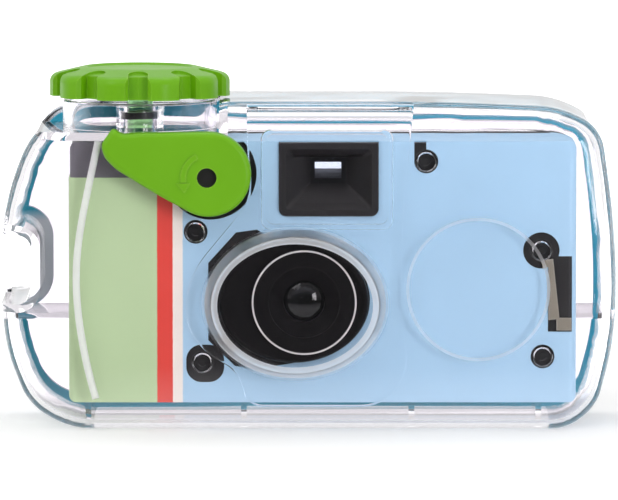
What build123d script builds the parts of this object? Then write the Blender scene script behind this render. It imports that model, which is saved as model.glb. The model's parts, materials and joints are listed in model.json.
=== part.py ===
from build123d import *
from math import cos, radians, sin, sqrt
import os

# Millimetres. +X is to the right seen from the front, +Z is up, and the front faces -Y.
# The origin is under the middle of the case, on the surface that it stands on.

# Shared fits and the overrun of every cut
overrun = 1.0
running_gap = 0.05
seat_gap = 0.1
part_gap = 0.3

# Outer case
case_width = 128.4
case_height = 68.6
case_depth = 50.0
case_front_y = -19.5
case_back_y = 21.0
seam_y = 14.5
seam_gap = 0.1
case_wall = 1.8
flange_depth = 3.0
front_edge_radius = 5.0
back_edge_radius = 4.5
rounding_share = 0.45

# Corners of the case seen from the front, as shares of half its width and of its height
lower_left_shares = [(-0.771, 0), (-0.911, 0.073), (-0.981, 0.235), (-1, 0.38), (-1, 0.6)]
upper_left_shares = [(-0.966, 0.75), (-0.915, 0.873), (-0.84, 0.952), (-0.75, 0.974)]
top_shares = [(-0.33, 0.974), (-0.285, 1), (0.4, 1), (0.81, 0.985), (0.95, 0.92)]
right_shares = [(0.985, 0.7), (1, 0.52), (1, 0.36), (0.985, 0.235), (0.94, 0.073), (0.841, 0)]

# Bay that is cut into the front shell for the knob
bay_depth = 6.2
bay_floor_z = case_height - bay_depth
bay_right_x = -18.6

# Seal between the shells
gasket_inset = 1.3
gasket_width = 2.2
gasket_depth = 2.4

# Strap slot and the bar that closes it
slot_low_z = 26.5
slot_high_z = 41.0
slot_deep_x = -57.7
slot_corner_radius = 3.0
strap_bar_width = 1.3
strap_bar_depth = 6.5

# Camera inside the case
camera_left_x = -49.7
camera_right_x = 55.5
camera_low_z = 6.1
camera_high_z = 60.1
camera_front_y = -16.0
camera_back_y = 15.5
cover_split_y = 0.6
cover_wall = 1.2
cover_corner_radius = 1.4
camera_room = 0.7

# Axes that several pieces share
knob_x = -35.4
knob_y = -1.8
lens_x = -0.9
lens_z = 27.2
lever_x = -21.1
lever_z = 53.3
supply_x = 35.3

# Raised middle of the front shell, as shares of half the case's width and of its height
middle_left_shares = [(-0.2, 1.1), (-0.2, 0.86), (-0.185, 0.77), (-0.2, 0.69)]
middle_bulge_shares = [(-0.36, 0.51), (-0.398, 0.42), (-0.392, 0.31), (-0.335, 0.24), (-0.225, 0.18)]
middle_foot_shares = [(-0.2, 0.075), (0.335, 0.075), (0.3, 0.42), (0.308, 0.68), (0.352, 1.1)]
middle_top_inset = 0.5
middle_rise = 0.6
middle_edge_radius = 0.5

# Lens port of the front shell
port_x = -2.8
port_z = 26.8
port_half_width = 19.1
port_half_height = 15.8
port_wall = 1.3
port_draft = 0.3
port_window = 1.6
port_window_set_back = 0.8
port_edge_radius = 0.4

# Viewfinder port of the front shell
finder_port_left_x = -9.9
finder_port_right_x = 17.6
finder_port_low_z = 42.2
finder_port_high_z = 63.2
finder_port_radius = 2.2
finder_port_rise = 1.5
finder_port_wall = 1.1
finder_port_edge_radius = 0.8

# Eyepiece port of the rear shell
eye_port_width = 34.0
eye_port_height = 20.0
eye_port_radius = 5.0
eye_port_wall = 1.8

# Grip rib and the moulded circle on the front shell, the rib as shares like those of the outline
grip_rib_shares = [(-0.68, 0.885), (-0.722, 0.7), (-0.752, 0.5), (-0.738, 0.3), (-0.69, 0.1)]
grip_rib_width = 1.5
grip_rib_rise = 1.2
grip_rib_edge_radius = 0.65
moulded_circle_z = 29.7
moulded_circle_radius = 15.0
moulded_line = 0.7
moulded_rise = 0.25

# Posts of the shells that locate the camera, and ribs that carry it
post_places = [(-23.5, 41.5), (-22.1, 14.2), (24.5, 56.2), (48.5, 37.6), (48.8, 15.4)]
post_radius = 1.75
post_bore_radius = 0.9
post_reach = 2.6
post_root_radius = 0.35
socket_radius = 2.3
socket_wall = 0.8
back_post_places = [(-38.0, 12.0), (-38.0, 44.0), (46.0, 12.0), (46.0, 50.0)]
back_post_radius = 1.8
rib_places = [-46.0, -13.5, 21.5, 48.0]
rib_thickness = 1.2
rib_front_set_back = 5.0
side_rib_z = 22.6

# Collar under the knob, shaft tube and seal
collar_radius = 16.2
collar_wall = 1.5
collar_height = 5.8
collar_edge_radius = 0.5
tube_radius = 5.0
tube_height = 4.2
shaft_radius = 2.7
shaft_seal_radius = 4.0
shaft_seal_height = 1.3
shaft_seal_lift = 1.8
shaft_seal_z = bay_floor_z + shaft_seal_lift
clip_radius = 4.8
clip_height = 0.8
clip_slot_width = 4.6

# Knob
knob_radius = 18.9
knob_clearance = 0.4
knob_low_z = case_height + knob_clearance
knob_rim_height = 4.5
knob_height = 6.1
knob_crown_radius = 12.0
knob_lobes = 10
knob_corner_radius = 5.0
knob_corner_cut = 0.25
knob_groove_width = 4.1
knob_groove_depth = 3.4
knob_groove_bevel = 0.7
knob_channel_end_radius = 13.0
knob_channel_depth = 0.5
knob_rim_round = 1.9
knob_wall = 1.6
knob_roof = 2.0
knob_boss_radius = 5.2
knob_dish_radius = 11.2
knob_dish_depth = 0.4
knob_shaft_socket = 3.0

# Shutter lever on the front
lever_head_radius = 8.8
lever_head_shift_x = 0.4
lever_head_shift_z = 0.65
lever_back_y = -20.3
lever_front_y = -23.9
lever_edge_radius = 1.2
lever_shaft_radius = 2.05
lever_seal_radius = 3.3
lever_seal_depth = 1.0
lever_boss_radius = 4.6
lever_boss_rise = 0.5
arrow_radius = 4.9
arrow_width = 1.1
arrow_rise = 0.3
arrow_head_length = 1.9
arrow_head_width = 2.8
arrow_start_degrees = 115.0
arrow_sweep_degrees = 75.0
lever_press_degrees = 20.0

# The arm of the lever from its top edge round the tip to the lower edge, as shares of the radius
# of the head, measured from the lever's shaft
arm_top_shares = [(-1.68, 0.98), (-2.04, 0.95), (-2.26, 1.1)]
arm_tip_shares = [(-2.54, 0.7), (-2.46, 0.4), (-2.2, 0.13)]
arm_low_shares = [(-1.25, -0.46)]
arm_round_share = 0.35
lever_low_angle = radians(27)

# Crank inside the case and the slider that it presses
crank_thickness = 1.5
crank_hub_radius = 3.4
crank_arm_length = 4.5
crank_arm_width = 2.6
crank_nose_radius = 1.5
pocket_radius = 9.6
pocket_shift = 0.7
pocket_depth = 1.9
slider_width = 2.8
slider_height = 3.5
slider_depth = 1.4
slider_pin_radius = 0.6
spring_height = 2.5
spring_outer_radius = 0.65
spring_inner_radius = 0.35

# Trigger lever, shutter blade and stop
trigger_width = 2.0
trigger_thickness = 0.8
trigger_hub_radius = 1.9
trigger_pin_radius = 1.0
trigger_pivot_x = -9.0
trigger_pivot_z = 36.5
blade_thickness = 0.3
blade_pivot_x = 8.4
blade_pivot_z = 31.0
blade_disc_radius = 3.6
blade_hub_radius = 1.6
blade_pin_radius = 0.8
stop_thickness = 0.4
stop_radius = 1.6
stop_plate_radius = 5.0

# Lens barrel
surround_x = -3.1
surround_half_width = 15.6
surround_half_height = 12.8
surround_front_y = -20.4
surround_edge_radius = 1.2
ring_radius = 10.9
ring_front_y = -21.7
ring_step_radius = 7.4
ring_step_depth = 0.75
ring_bore_radius = 4.3
ring_throat_y = -18.2
ring_rim_width = 0.45
ring_rim_rise = 0.25
lens_radius = 4.1
lens_edge = 1.6
lens_crown = 1.1
lens_seat_radius = 5.2
lens_seat_length = 1.6
lens_seat_bore_radius = 2.6

# Viewfinder
finder_left_x = -6.1
finder_right_x = 14.5
finder_low_z = 44.8
finder_front_y = -17.0
finder_block_depth = 7.0
finder_corner_radius = 1.6
finder_frame_inset = 2.6
finder_window_x = 4.1
finder_window_z = 54.1
finder_window_width = 5.6
finder_window_height = 3.4
finder_tube_wall = 1.0
finder_lens_thickness = 1.2
finder_lens_margin = 1.6
eyepiece_width = 9.0
eyepiece_height = 6.0

# Chassis
film_plane_y = 9.8
gate_thickness = 1.3
gate_left_x = -20.6
gate_right_x = 22.0
gate_width = 36.0
gate_height = 24.0
plate_low_z = 7.5
plate_thickness = 1.2
top_plate_z = 54.6
tunnel_front_y = -10.0
tunnel_front_size = 12.0
tunnel_wall = 1.0
lens_board_half_width = 11.0
lens_board_half_height = 12.0
lens_board_thickness = 1.2
chassis_side_room = 0.6

# Film and what carries it
film_height = 35.0
film_low_z = 16.0
film_thickness = 0.25
cartridge_radius = 12.4
cartridge_low_z = 10.0
cartridge_height = 43.0
cartridge_cap_height = 2.0
cartridge_cap_radius = 12.5
spool_hub_radius = 5.6
spool_end_radius = 3.4
roll_radius = 11.2
supply_core_radius = 4.0
supply_end_radius = 2.6
supply_flange_radius = 9.0
supply_flange_height = 1.0
sprocket_x = -15.6
sprocket_root_radius = 5.2
sprocket_teeth = 8
sprocket_tooth_height = 0.9
sprocket_tooth_width = 1.4
sprocket_height = 2.6
sprocket_z = 48.4
sprocket_shaft_radius = 1.3

# Winding wheel, pawl and counter over the top plate
wheel_radius = 10.8
wheel_height = 2.0
wheel_teeth = 36
wheel_notch_width = 1.0
dog_length = 8.4
dog_width = 1.8
dog_height = 1.5
dog_room = 0.2
wheel_opening_radius = 11.6
pawl_x = -20.0
pawl_y = 6.4
pawl_hub_radius = 1.5
pawl_pin_radius = 0.7
pawl_thickness = 1.4
pawl_width = 1.2
counter_y = -4.9
counter_radius = 6.2
counter_height = 1.0
counter_marks = 24
counter_notch_width = 0.35
counter_pin_radius = 0.9

# Printed wrap
label_thickness = 0.3
label_hole_radius = 2.5
label_socket_low_x = -25.5
label_socket_high_x = -17.6
label_socket_low_z = 10.0
label_socket_high_z = 17.9
label_socket_radius = 3.2
label_lens_points = [(-20.9, 18.8), (-20.9, 35.0), (-15.1, 41.4), (-10.7, 42.0), (-3.1, 37.0), (-3.1, 14.0),
                     (-11.0, 12.8), (-15.3, 13.4)]
label_notch_height = 6.8
label_dark_right_x = -31.7
label_dark_low_z = 52.8
label_side_depth = 22.0
catch_x = 48.5
catch_z = 37.6
catch_radius = 3.8
catch_slot_left_x = 49.9
catch_slot_low_z = 20.6
catch_slot_high_z = 36.4
catch_arm_width = 2.4
catch_thickness = 0.8
catch_foot_width = 3.6
catch_foot_height = 2.6


def at_y(y):
    """Plane that faces the front at the depth y."""
    return Plane.XZ.offset(-y)


def slab(outline, back_y, front_y):
    """Outline drawn in X and Z, given its thickness from back_y forwards to front_y."""
    return extrude(at_y(back_y) * outline, amount=back_y - front_y)


def block(low_x, high_x, low_y, high_y, low_z, high_z):
    """Box between two values of each axis."""
    centre = Pos((low_x + high_x) / 2, (low_y + high_y) / 2, (low_z + high_z) / 2)
    return centre * Box(high_x - low_x, high_y - low_y, high_z - low_z)


def rod_z(x, y, radius, low_z, high_z):
    """Upright cylinder."""
    return Pos(x, y, (low_z + high_z) / 2) * Cylinder(radius, high_z - low_z)


def rod_y(x, z, radius, back_y, front_y):
    """Cylinder from back to front."""
    return slab(Pos(x, z) * Circle(radius), back_y, front_y)


def flare_y(x, z, radius, root_y, size):
    """Conical root of a rod that stands on the wall at root_y and reaches back."""
    cone = Cone(radius + size, radius, size, align=(Align.CENTER, Align.CENTER, Align.MIN))
    return Pos(x, root_y, z) * Rot(-90, 0, 0) * cone


def panel(low_x, high_x, low_z, high_z, radius):
    """Rectangle in X and Z with round corners."""
    centre = Pos((low_x + high_x) / 2, (low_z + high_z) / 2)
    return centre * RectangleRounded(high_x - low_x, high_z - low_z, radius)


def case_points(shares):
    """Points of the case from shares of half its width and of its height."""
    return [Vector(x * case_width / 2, z * case_height) for x, z in shares]


def corner_arc(before_point, corner, after_point, share):
    """Arc that takes the given share of the shorter run beside a corner."""
    before = corner - before_point
    after = after_point - corner
    reach = share * min(before.length, after.length)
    half_turn = radians(before.get_angle(after)) / 2
    depth = reach * (1 - cos(half_turn)) / sin(half_turn)
    inwards = (after.normalized() - before.normalized()).normalized()
    return ThreePointArc(corner - before.normalized() * reach, corner + inwards * depth,
                         corner + after.normalized() * reach)


def rounded_path(points, share):
    """Run of lines from the first point to the last, with an arc at each corner between them."""
    edges = []
    start = points[0]
    for before_point, corner, after_point in zip(points, points[1:], points[2:]):
        arc = corner_arc(before_point, corner, after_point, share)
        edges += [Line(start, arc @ 0), arc]
        start = arc @ 1
    edges.append(Line(start, points[-1]))
    return edges


def rounded_face(points, share):
    """Closed outline with an arc at each corner."""
    middle = (points[0] + points[-1]) / 2
    return make_face(rounded_path([middle] + points + [middle], share))


def case_face(inset):
    """Outline of the case, drawn in by inset."""
    points = case_points(lower_left_shares + upper_left_shares + top_shares + right_shares)
    face = rounded_face(points, rounding_share)
    if inset > 0:
        face = offset(face, amount=-inset, kind=Kind.ARC)
    return face


def rounded_prism(inset, back_y, front_y, radius, round_front):
    """Prism of the case's outline with one end's edge rounded."""
    solid = slab(case_face(inset), back_y, front_y)
    end_face = solid.faces().sort_by(Axis.Y)[0 if round_front else -1]
    return fillet(end_face.edges(), radius)


def pad(outline, back_y, front_y, radius):
    """Slab whose front edges are rounded."""
    body = slab(outline, back_y, front_y)
    return fillet(body.faces().sort_by(Axis.Y)[0].edges(), radius)


def slot_face(grow):
    """Strap slot seen from the front, grown by the given wall, with its outer side left open."""
    outer_x = -case_width / 2 - overrun
    shape = panel(outer_x - slot_corner_radius, slot_deep_x + grow, slot_low_z - grow,
                  slot_high_z + grow, slot_corner_radius + grow)
    return shape


def camera_opening_face():
    """Opening of the closing flange that the camera slides through."""
    side_room = label_thickness + camera_room
    return panel(camera_left_x - side_room, camera_right_x + side_room, camera_low_z - camera_room,
                 camera_high_z + label_thickness + seat_gap, cover_corner_radius)


def knob_bay(inset):
    """Space cut away from the left of the front shell, grown inwards by inset."""
    return block(-case_width, bay_right_x + inset, case_front_y - overrun, seam_y - flange_depth,
                 bay_floor_z - inset, case_height + overrun)


def lens_port_outline(inset):
    """Oval of the lens port."""
    return Pos(port_x, port_z) * Ellipse(port_half_width - inset, port_half_height - inset)


def port_block(inset, back_y, front_y):
    """Oval block of the lens port that narrows to the front, drawn in by inset."""
    ends = [Plane.XZ.offset(-y) * lens_port_outline(inset + port_draft * (case_front_y - y))
            for y in (back_y, front_y)]
    return loft(ends)


def middle_block():
    """Raised middle of the front, which fills the rounded edge of the case above it."""
    points = case_points(middle_left_shares + middle_bulge_shares + middle_foot_shares)
    back_y = case_front_y + front_edge_radius
    front_y = case_front_y - middle_rise
    body = pad(rounded_face(points, rounding_share), back_y, front_y, middle_edge_radius)
    return body & slab(case_face(middle_top_inset), back_y + overrun, front_y - overrun)


def finder_port_outline(inset):
    """Rounded rectangle of the viewfinder port."""
    return panel(finder_port_left_x + inset, finder_port_right_x - inset, finder_port_low_z + inset,
                 finder_port_high_z - inset, finder_port_radius - inset / 2)


def strap_bar(back_y, front_y):
    """Bar that closes the strap slot."""
    low_x = -case_width / 2
    return block(low_x, low_x + strap_bar_width, front_y, back_y, slot_low_z - slot_corner_radius,
                 slot_high_z + slot_corner_radius)


def gasket_ring(room):
    """Seal ring, grown by the given room for its groove."""
    outer = case_face(gasket_inset - room)
    inner = case_face(gasket_inset + gasket_width + room)
    ring = slab(outer, seam_y + gasket_depth / 2 + room, seam_y - gasket_depth / 2 - room)
    ring -= slab(inner, seam_y + gasket_depth, seam_y - gasket_depth)
    detour_inner = slot_face(gasket_inset + gasket_width + room)
    detour_outer = slot_face(gasket_inset - room)
    bridge = slab(detour_inner, seam_y + gasket_depth / 2 + room, seam_y - gasket_depth / 2 - room)
    bridge = bridge & slab(outer, seam_y + gasket_depth, seam_y - gasket_depth)
    opening = slab(detour_outer, seam_y + gasket_depth, seam_y - gasket_depth)
    return ring + bridge - opening


def grip_rib(back_y, front_y):
    """Long rib at the left that the hand holds."""
    path = Spline(*case_points(grip_rib_shares))
    return pad(trace(path, line_width=grip_rib_width), back_y, front_y, grip_rib_edge_radius)


def front_shell():
    inner_back_y = seam_y - flange_depth
    body = rounded_prism(0, inner_back_y, case_front_y, front_edge_radius, True)
    body = body + middle_block() - knob_bay(0)
    cavity = rounded_prism(case_wall, inner_back_y + overrun, case_front_y + case_wall,
                           front_edge_radius - case_wall, True) - knob_bay(case_wall)
    slot_wall = slab(slot_face(case_wall), inner_back_y, case_front_y) & body
    shell = body - cavity + slot_wall
    shell += slab(case_face(0), seam_y, inner_back_y)
    shell -= slab(camera_opening_face(), seam_y + overrun, inner_back_y - overrun)
    shell = add_front_relief(shell)
    shell = add_collar(shell)
    shell = add_front_supports(shell)
    shell -= slab(slot_face(0), seam_y + overrun, case_front_y - overrun)
    shell += strap_bar(seam_y, seam_y - strap_bar_depth)
    shell -= gasket_ring(seat_gap)
    shell -= lever_bore()
    return shell


def add_front_relief(shell):
    """Ports, rib and circle on the front face."""
    face_y = case_front_y
    inner_y = case_front_y + case_wall
    root_y = face_y + case_wall / 2
    shell += pad(finder_port_outline(0), root_y, face_y - finder_port_rise, finder_port_edge_radius)
    shell -= slab(finder_port_outline(finder_port_wall), inner_y + overrun,
                  face_y - finder_port_rise + finder_port_wall)
    port_front_y = -case_depth / 2
    port = port_block(0, inner_y, port_front_y)
    shell += fillet(port.faces().sort_by(Axis.Y)[0].edges(), port_edge_radius)
    shell -= port_block(port_wall, inner_y + overrun, port_front_y - overrun)
    window_front_y = port_front_y + port_window_set_back
    shell += port_block(port_wall / 2, window_front_y + port_window, window_front_y)
    shell += grip_rib(root_y, face_y - grip_rib_rise)
    circle = Circle(moulded_circle_radius) - Circle(moulded_circle_radius - moulded_line)
    shell += slab(Pos(supply_x, moulded_circle_z) * circle, root_y, face_y - moulded_rise)
    boss_face = Pos(lever_x, lever_z) * Circle(lever_boss_radius)
    shell += slab(boss_face, inner_y + lever_boss_rise, face_y - lever_boss_rise)
    return shell


def add_collar(shell):
    """Round collar under the knob, and the tube that its shaft turns in."""
    floor_low_z = bay_floor_z - case_wall
    collar_high_z = bay_floor_z + collar_height
    tube_high_z = bay_floor_z + tube_height
    collar = rod_z(knob_x, knob_y, collar_radius, floor_low_z, collar_high_z)
    collar -= rod_z(knob_x, knob_y, collar_radius - collar_wall, bay_floor_z, collar_high_z + overrun)
    shell += fillet(collar.faces().sort_by(Axis.Z)[-1].edges(), collar_edge_radius)
    shell += rod_z(knob_x, knob_y, tube_radius, floor_low_z, tube_high_z)
    shell -= rod_z(knob_x, knob_y, shaft_radius + running_gap, floor_low_z - overrun, tube_high_z + overrun)
    shell -= rod_z(knob_x, knob_y, shaft_seal_radius + seat_gap, shaft_seal_z - seat_gap,
                   shaft_seal_z + shaft_seal_height + seat_gap)
    return shell


def add_front_supports(shell):
    """Posts that enter the camera's sockets, and ribs under and beside the camera."""
    inner_y = case_front_y + case_wall
    for x, z in post_places:
        shell += rod_y(x, z, post_radius, inner_y + post_reach, inner_y - case_wall / 2)
        shell += flare_y(x, z, post_radius, inner_y, post_root_radius)
        shell -= rod_y(x, z, post_bore_radius, inner_y + post_reach + overrun, inner_y)
    rib_back_y = seam_y - flange_depth
    for x in rib_places:
        shell += block(x - rib_thickness / 2, x + rib_thickness / 2, case_front_y + rib_front_set_back,
                       rib_back_y, case_wall / 2, camera_low_z - label_thickness - seat_gap)
    reach_y = case_front_y + 2 * rib_front_set_back
    left_end = camera_left_x - label_thickness - seat_gap
    right_end = camera_right_x + label_thickness + seat_gap
    edge_x = case_width / 2 - case_wall
    shell += block(-edge_x, left_end, reach_y, rib_back_y, side_rib_z, side_rib_z + rib_thickness)
    shell += block(right_end, edge_x, reach_y, rib_back_y, side_rib_z, side_rib_z + rib_thickness)
    return shell


def lever_bore():
    """Bore of the lever's shaft through the front shell, with the groove of its seal."""
    bore = rod_y(lever_x, lever_z, lever_shaft_radius + running_gap, camera_front_y,
                 case_front_y - case_wall)
    seal_back_y = lever_seal_back_y() + seat_gap
    groove = rod_y(lever_x, lever_z, lever_seal_radius + seat_gap, seal_back_y,
                   seal_back_y - lever_seal_depth - 2 * seat_gap)
    return bore + groove


def lever_seal_back_y():
    """Back face of the lever's seal, in the middle of the wall."""
    return case_front_y + case_wall / 2 + lever_seal_depth / 2


def rear_shell():
    shell = rounded_prism(0, case_back_y, seam_y + seam_gap, back_edge_radius, False)
    inner = rounded_prism(case_wall, case_back_y - case_wall, seam_y + case_wall,
                          back_edge_radius - case_wall, False)
    inner -= slab(slot_face(case_wall), case_back_y, seam_y)
    shell -= inner
    shell -= slab(camera_opening_face(), seam_y + 2 * case_wall, seam_y - overrun)
    port = Pos(finder_window_x, finder_window_z) * RectangleRounded(eye_port_width, eye_port_height,
                                                                   eye_port_radius)
    hollow = Pos(finder_window_x, finder_window_z) * RectangleRounded(
        eye_port_width - 2 * eye_port_wall, eye_port_height - 2 * eye_port_wall,
        eye_port_radius - eye_port_wall)
    port_back_y = case_depth / 2
    shell += slab(port, port_back_y, case_back_y - case_wall)
    shell -= slab(hollow, port_back_y - eye_port_wall, case_back_y - case_wall - overrun)
    for x, z in back_post_places:
        shell += rod_y(x, z, back_post_radius, case_back_y - case_wall / 2, camera_back_y + seat_gap)
    shell -= slab(slot_face(0), case_back_y + overrun, seam_y - overrun)
    shell += strap_bar(seam_y + case_wall, seam_y + seam_gap)
    shell -= gasket_ring(seat_gap)
    return shell


def case_gasket():
    return gasket_ring(0)


def knob_slope():
    """Fall of the knob's top for each unit outwards from its crown."""
    return (knob_height - knob_rim_height) / (knob_radius - knob_crown_radius)


def knob_profile():
    """Half section of the knob's top, from its axis outwards."""
    dish_z = knob_height - knob_dish_depth
    outer_radius = knob_radius + overrun
    points = [(0, 0), (outer_radius, 0), (outer_radius, knob_rim_height - overrun * knob_slope()),
              (knob_crown_radius, knob_height), (knob_dish_radius, knob_height),
              (knob_dish_radius - knob_dish_depth, dish_z), (0, dish_z)]
    return Plane.XZ * make_face(Polyline(*points, close=True))


def knob_blank():
    """Ten-sided knob with rounded corners, rounded over at its rim."""
    outline = RegularPolygon(knob_radius + knob_corner_cut, knob_lobes)
    outline = fillet(outline.vertices(), knob_corner_radius)
    solid = extrude(outline, amount=2 * knob_height) & revolve(knob_profile(), Axis.Z)
    rim = [edge for edge in solid.edges()
           if edge.center().Z > knob_rim_height / 2 and Vector(edge @ 0).Z < knob_height - knob_dish_depth]
    return fillet(rim, knob_rim_round)


def knob_groove():
    """Groove of the knob's rim with bevelled edges, and the shallow channel that it leads to on the top."""
    half = knob_groove_width / 2
    floor_radius = knob_radius - knob_groove_depth
    side_radius = (knob_radius + knob_corner_cut) * cos(radians(180 / knob_lobes))
    groove = block(floor_radius, knob_radius + overrun, -half, half, -overrun, knob_height)
    bevel_side = (half + knob_groove_bevel) * sqrt(2)
    bevel = Rot(0, 0, 45) * Box(bevel_side, bevel_side, 4 * knob_height)
    groove += Pos(side_radius, 0, 0) * bevel
    start = Vector(knob_channel_end_radius, 0, knob_height)
    start.Z -= (knob_channel_end_radius - knob_crown_radius) * knob_slope() + knob_channel_depth
    channel = Plane(start, x_dir=(1, 0, -knob_slope()), z_dir=(knob_slope(), 0, 1))
    length = knob_groove_depth + half
    outline = Pos(half, 0) * Circle(half) + Pos(half + length / 2, 0) * Rectangle(length, 2 * half)
    return groove + channel * extrude(outline, amount=knob_height)


def wind_knob():
    solid = knob_blank()
    groove = knob_groove()
    for index in range(knob_lobes):
        solid -= Rot(0, 0, index * 360 / knob_lobes - 90) * groove
    hollow_radius = knob_radius - knob_groove_depth - knob_wall
    hollow = rod_z(0, 0, hollow_radius, -overrun, knob_height - knob_roof)
    hollow -= rod_z(0, 0, knob_boss_radius, -2 * overrun, knob_height)
    solid -= hollow
    solid -= rod_z(0, 0, shaft_radius, -overrun, knob_shaft_socket)
    return Pos(knob_x, knob_y, knob_low_z) * solid


def wheel_low_z():
    """Underside of the winding wheel."""
    return top_plate_z + plate_thickness + part_gap


def dog_low_z():
    """Lower end of the shaft's blade, clear of the bottom of the wheel's slot."""
    return wheel_low_z() + wheel_height - dog_height + dog_room


def clip_low_z():
    """Underside of the clip, under the floor of the bay."""
    return bay_floor_z - case_wall - part_gap - clip_height


def knob_shaft():
    shaft_low_z = clip_low_z() - part_gap
    shaft = rod_z(knob_x, knob_y, shaft_radius, shaft_low_z, knob_low_z + knob_shaft_socket)
    shaft += block(knob_x - dog_length / 2, knob_x + dog_length / 2, knob_y - dog_width / 2,
                   knob_y + dog_width / 2, dog_low_z(), shaft_low_z)
    low_z = clip_low_z()
    groove = rod_z(knob_x, knob_y, shaft_radius + overrun, low_z, low_z + clip_height)
    groove -= rod_z(knob_x, knob_y, clip_slot_width / 2, low_z, low_z + clip_height)
    return shaft - groove


def knob_clip():
    low_z = clip_low_z()
    clip = rod_z(knob_x, knob_y, clip_radius, low_z, low_z + clip_height)
    clip -= rod_z(knob_x, knob_y, clip_slot_width / 2, low_z - overrun, low_z + clip_height + overrun)
    clip -= block(knob_x, knob_x + clip_radius + overrun, knob_y - clip_slot_width / 2,
                  knob_y + clip_slot_width / 2, low_z - overrun, low_z + clip_height + overrun)
    return clip


def knob_shaft_seal():
    seal = rod_z(knob_x, knob_y, shaft_seal_radius, shaft_seal_z, shaft_seal_z + shaft_seal_height)
    seal -= rod_z(knob_x, knob_y, shaft_radius + running_gap, shaft_seal_z - overrun,
                  shaft_seal_z + shaft_seal_height + overrun)
    return seal


def lever_points(shares):
    """Points of the lever from shares of the radius of its head, measured from the head's middle."""
    middle = Vector(lever_x + lever_head_shift_x, lever_z + lever_head_shift_z)
    return [middle + Vector(x, z) * lever_head_radius for x, z in shares]


def lever_face():
    """Outline of the lever: the arm's edge and the round of its head."""
    top, right, low = lever_points([(0, 1), (1, 0), (-sin(lever_low_angle), -cos(lever_low_angle))])
    arm = rounded_path([top] + lever_points(arm_top_shares + arm_tip_shares + arm_low_shares) + [low],
                       arm_round_share)
    return make_face(arm + [ThreePointArc(low, right, top)])


def curved_arrow():
    """Raised arrow on the lever, which shows the way it is pressed."""
    arc = CenterArc((lever_x, lever_z), arrow_radius, arrow_start_degrees, arrow_sweep_degrees)
    band = trace(arc, line_width=arrow_width)
    left_x = lever_x - arrow_radius - arrow_head_width / 2
    right_x = left_x + arrow_head_width
    base_z = lever_z - arrow_width
    tip = (right_x - arrow_width, base_z - arrow_head_length)
    head = make_face(Polyline((left_x, base_z), (right_x, base_z), tip, close=True))
    return slab(band + head, lever_front_y + arrow_rise, lever_front_y - arrow_rise)


def shutter_lever():
    body = pad(lever_face(), lever_back_y, lever_front_y, lever_edge_radius)
    body += curved_arrow()
    body -= rod_y(lever_x, lever_z, lever_shaft_radius, lever_back_y + overrun, lever_front_y - overrun)
    return body


def crank_back_y():
    """Back face of the crank, in the pocket of the camera."""
    return camera_front_y + crank_thickness


def lever_shaft():
    front_y = lever_front_y + lever_edge_radius
    return rod_y(lever_x, lever_z, lever_shaft_radius, crank_back_y(), front_y)


def lever_shaft_seal():
    back_y = lever_seal_back_y()
    seal = rod_y(lever_x, lever_z, lever_seal_radius, back_y, back_y - lever_seal_depth)
    seal -= rod_y(lever_x, lever_z, lever_shaft_radius + running_gap, back_y + overrun,
                  back_y - lever_seal_depth - overrun)
    return seal


def slider_x():
    """Middle of the release slider, under the nose of the crank."""
    return lever_x - crank_arm_length


def press_crank():
    face = Pos(lever_x, lever_z) * Circle(crank_hub_radius)
    face += Pos((lever_x + slider_x()) / 2, lever_z) * Rectangle(crank_arm_length, crank_arm_width)
    face += Pos(slider_x(), lever_z) * Circle(crank_nose_radius)
    face -= Pos(lever_x, lever_z) * Circle(lever_shaft_radius)
    return slab(face, crank_back_y(), camera_front_y)


def slider_high_z():
    """Top of the release slider, just under the nose of the crank."""
    return lever_z - crank_nose_radius - seat_gap


def slider_travel():
    """Way that the slider goes down when the lever is pressed home."""
    return crank_arm_length * radians(lever_press_degrees)


def slider_pin_z():
    """Axis of the slider's pin, on top of the end of the trigger lever."""
    return slider_high_z() - slider_height / 2


def release_slider():
    high_z = slider_high_z()
    back_y = crank_back_y()
    low_x = slider_x() - slider_width / 2
    body = block(low_x, low_x + slider_width, back_y - slider_depth, back_y, high_z - slider_height, high_z)
    return body + rod_y(slider_x(), slider_pin_z(), slider_pin_radius, trigger_back_y(), back_y - seat_gap)


def spring_low_z():
    """Seat of the release spring."""
    return slider_high_z() - slider_height - spring_height


def release_spring():
    y = crank_back_y() - slider_depth / 2
    high_z = spring_low_z() + spring_height
    spring = rod_z(slider_x(), y, spring_outer_radius, spring_low_z(), high_z)
    return spring - rod_z(slider_x(), y, spring_inner_radius, spring_low_z() - overrun, high_z + overrun)


def cover_block(inset):
    """Rounded block of the whole camera, drawn in by inset."""
    width = camera_right_x - camera_left_x - 2 * inset
    depth = camera_back_y - camera_front_y - 2 * inset
    radius = cover_corner_radius - inset / 2
    middle = Pos((camera_left_x + camera_right_x) / 2, (camera_front_y + camera_back_y) / 2)
    face = middle * RectangleRounded(width, depth, radius)
    low_z = camera_low_z + inset
    high_z = camera_high_z - inset
    seen_from_front = panel(camera_left_x + inset, camera_right_x - inset, low_z, high_z, radius)
    upright = Pos(0, 0, low_z) * extrude(face, amount=high_z - low_z)
    return upright & slab(seen_from_front, camera_back_y - inset, camera_front_y + inset)


def wheel_opening():
    """Opening in the camera's top over the winding wheel."""
    low_z = top_plate_z + plate_thickness
    return rod_z(knob_x, knob_y, wheel_opening_radius, low_z, camera_high_z + overrun)


def pocket_face(grow):
    """Round of the pocket for the crank, level at the slider's side."""
    centre_x = lever_x + pocket_shift
    low_x = slider_x() - slider_width / 2 - part_gap - grow
    face = Pos(centre_x, lever_z + pocket_shift / 2) * Circle(pocket_radius + grow)
    high_x = lever_x + 2 * pocket_radius
    return face & Pos((low_x + high_x) / 2, lever_z) * Rectangle(high_x - low_x, 4 * pocket_radius)


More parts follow.
